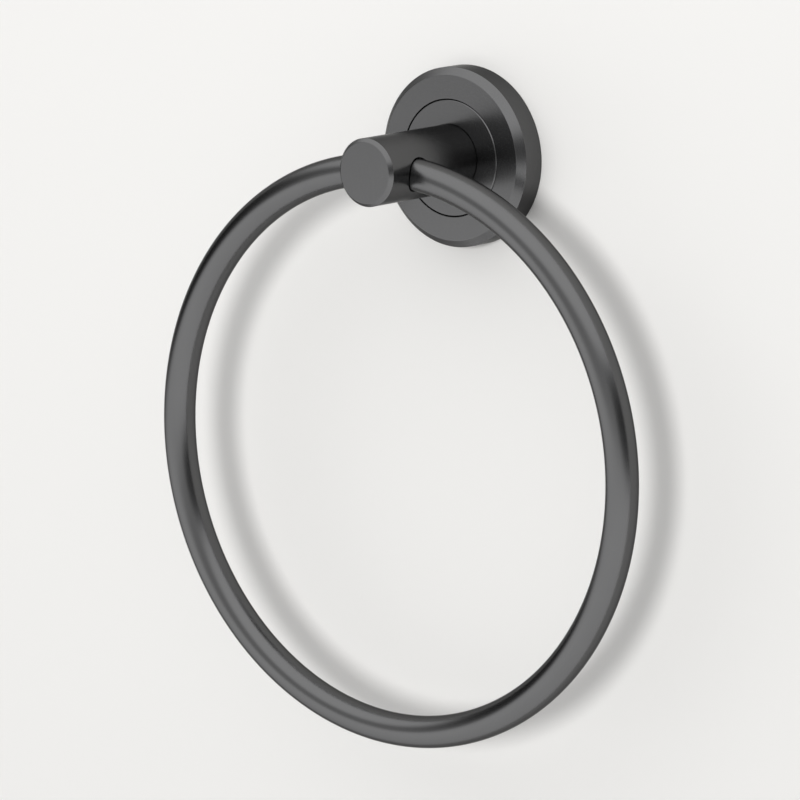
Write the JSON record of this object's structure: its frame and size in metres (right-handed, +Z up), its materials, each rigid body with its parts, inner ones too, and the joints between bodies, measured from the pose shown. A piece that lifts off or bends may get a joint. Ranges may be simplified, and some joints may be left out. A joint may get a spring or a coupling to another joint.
{
  "type": "towel ring",
  "caption": "Wall-mounted towel ring: a round bevelled escutcheon and a short post with a cross bore, through which a plain round ring hangs and swings.",
  "frame": {"origin": "on the wall, at the post's axis, midway between the wall plate's two screw holes", "axes": "+Z up, +Y into the wall along the post's axis, +X to the right of someone who faces the wall"},
  "size_m": [0.184, 0.0512, 0.2076],
  "materials": {
    "satin_gunmetal": "satin gunmetal coating on turned metal",
    "plate_steel": "plain machined steel",
    "screw_steel": "black oxide",
    "seal_rubber": "matt black rubber"
  },
  "bodies": {
    "bracket": {"wall_plate": "plate_steel", "base_hub": "satin_gunmetal", "escutcheon": "satin_gunmetal", "o_ring": "seal_rubber", "post": "satin_gunmetal", "post_screw": "screw_steel", "grub_screw": "screw_steel"},
    "ring": {"ring": "satin_gunmetal"}
  },
  "joints": [
    {"name": "ring_swing", "type": "hinge", "parent": "bracket", "child": "ring", "pos_m": [0, -0.0375, -0.00116], "axis": [-1, 0, 0], "range_deg": [-10, 190]}
  ]
}
